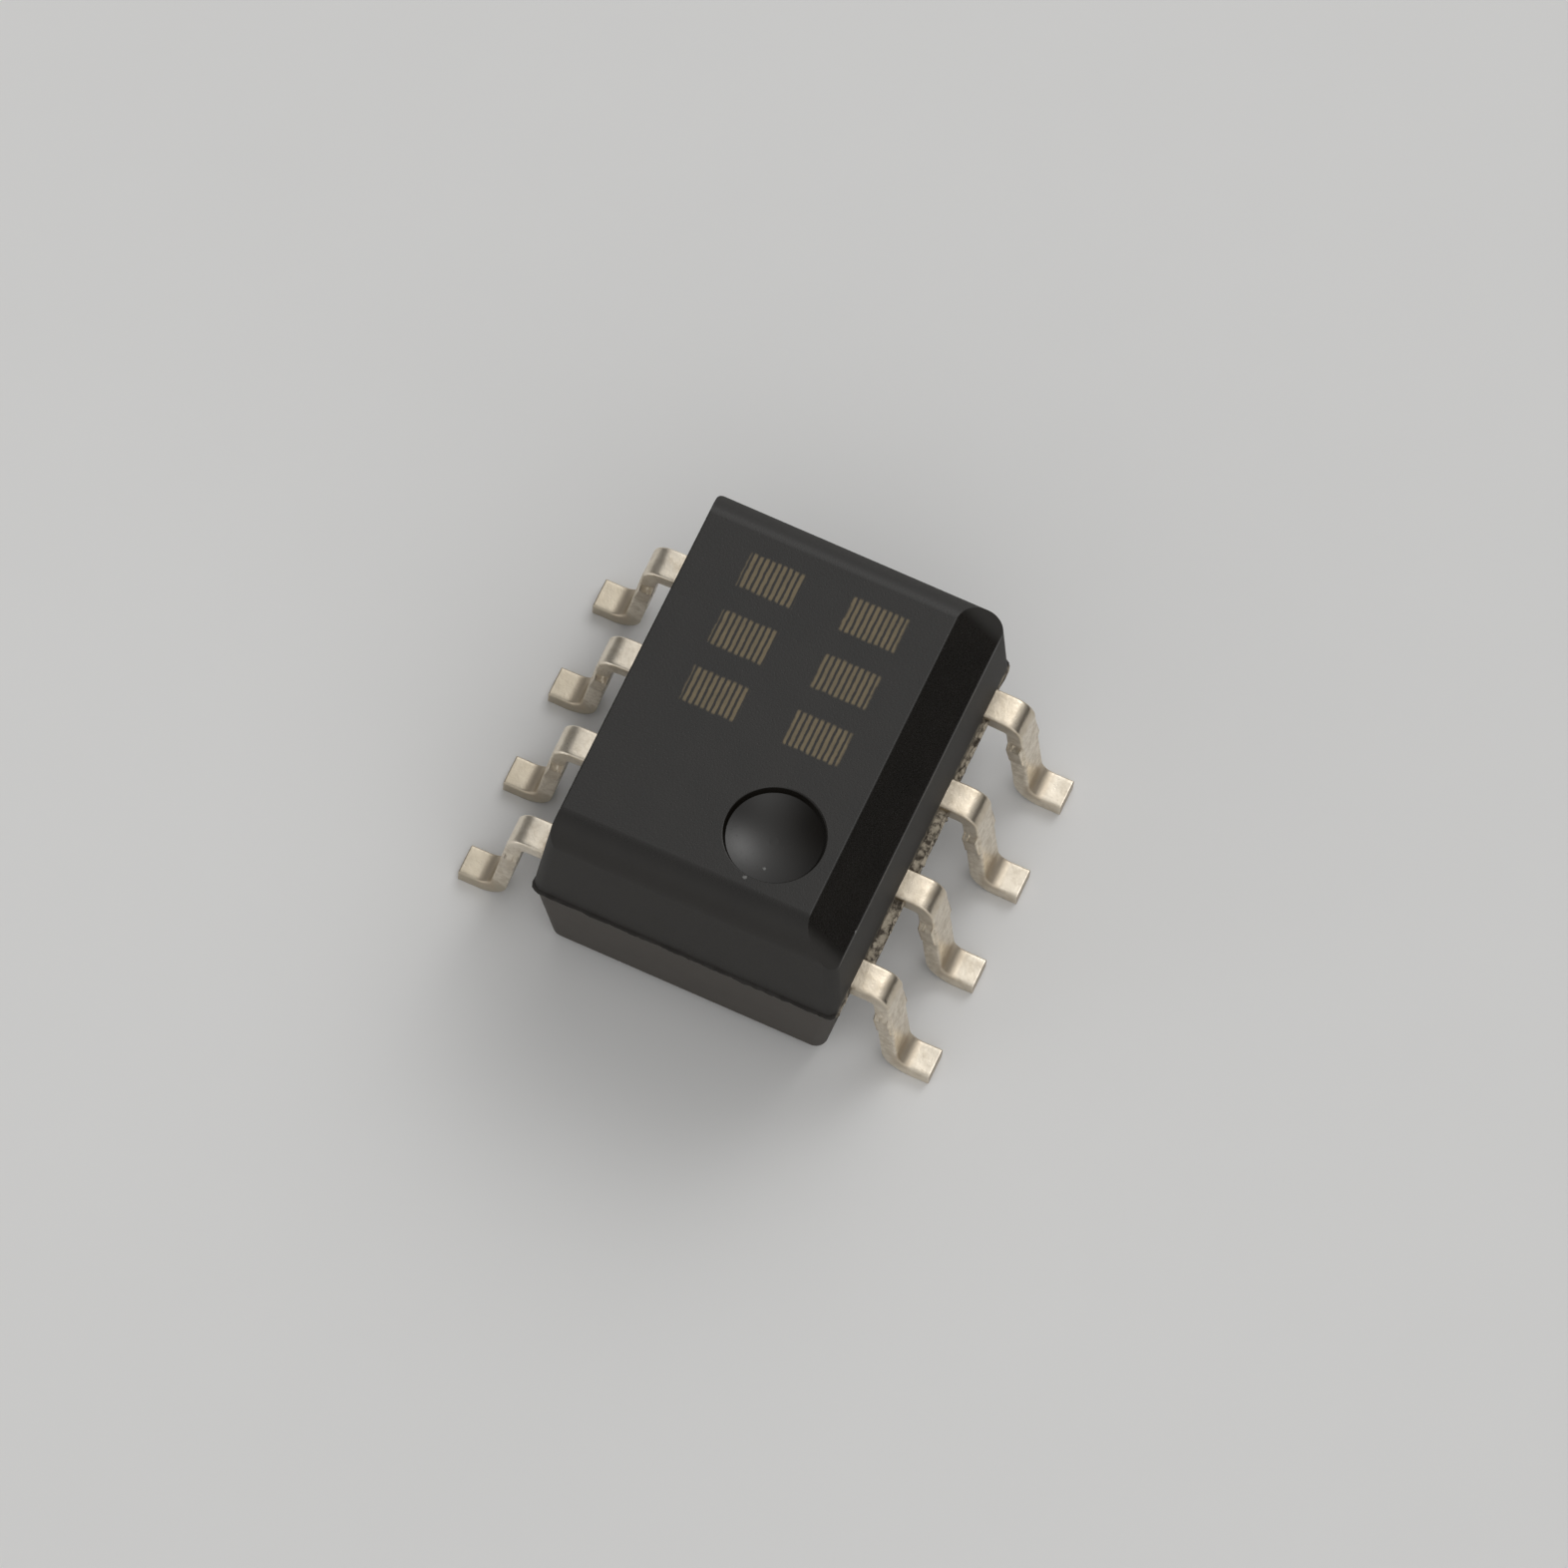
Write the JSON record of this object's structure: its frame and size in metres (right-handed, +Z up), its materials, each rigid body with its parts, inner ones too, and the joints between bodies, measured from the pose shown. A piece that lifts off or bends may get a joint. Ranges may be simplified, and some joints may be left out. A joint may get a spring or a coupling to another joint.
{
  "type": "soic chip",
  "caption": "Tall small-outline optocoupler chip: black moulded body with a bevelled side and a pin dimple, on two rows of gull-wing leads; passes a signal across a gap by light.",
  "frame": {"origin": "on the board plane, under the middle of the package", "axes": "+X along the body, away from the pin 1 dimple; +Y across the leads, towards pins 5 to 8; +Z up from the board"},
  "size_m": [0.0052, 0.0062, 0.0034],
  "materials": {
    "moulding": "matte moulded epoxy",
    "tin_plate": "satin tin plating",
    "emitter_crystal": "polished crystal",
    "silicon": "polished wafer",
    "silver_adhesive": "cured paste",
    "gold_wire": "drawn wire",
    "clear_silicone": "soft clear gel"
  },
  "bodies": {
    "root": {"moulded_body": "moulding", "lead_1": "tin_plate", "lead_2": "tin_plate", "lead_3": "tin_plate", "lead_4": "tin_plate", "lead_5": "tin_plate", "lead_6": "tin_plate", "lead_7": "tin_plate", "lead_8": "tin_plate", "emitter_chip": "emitter_crystal", "emitter_adhesive": "silver_adhesive", "detector_chip": "silicon", "detector_adhesive": "silver_adhesive", "emitter_wire": "gold_wire", "output_wire": "gold_wire", "enable_wire": "gold_wire", "supply_wire": "gold_wire", "ground_wire": "gold_wire", "light_guide": "clear_silicone"}
  },
  "joints": []
}
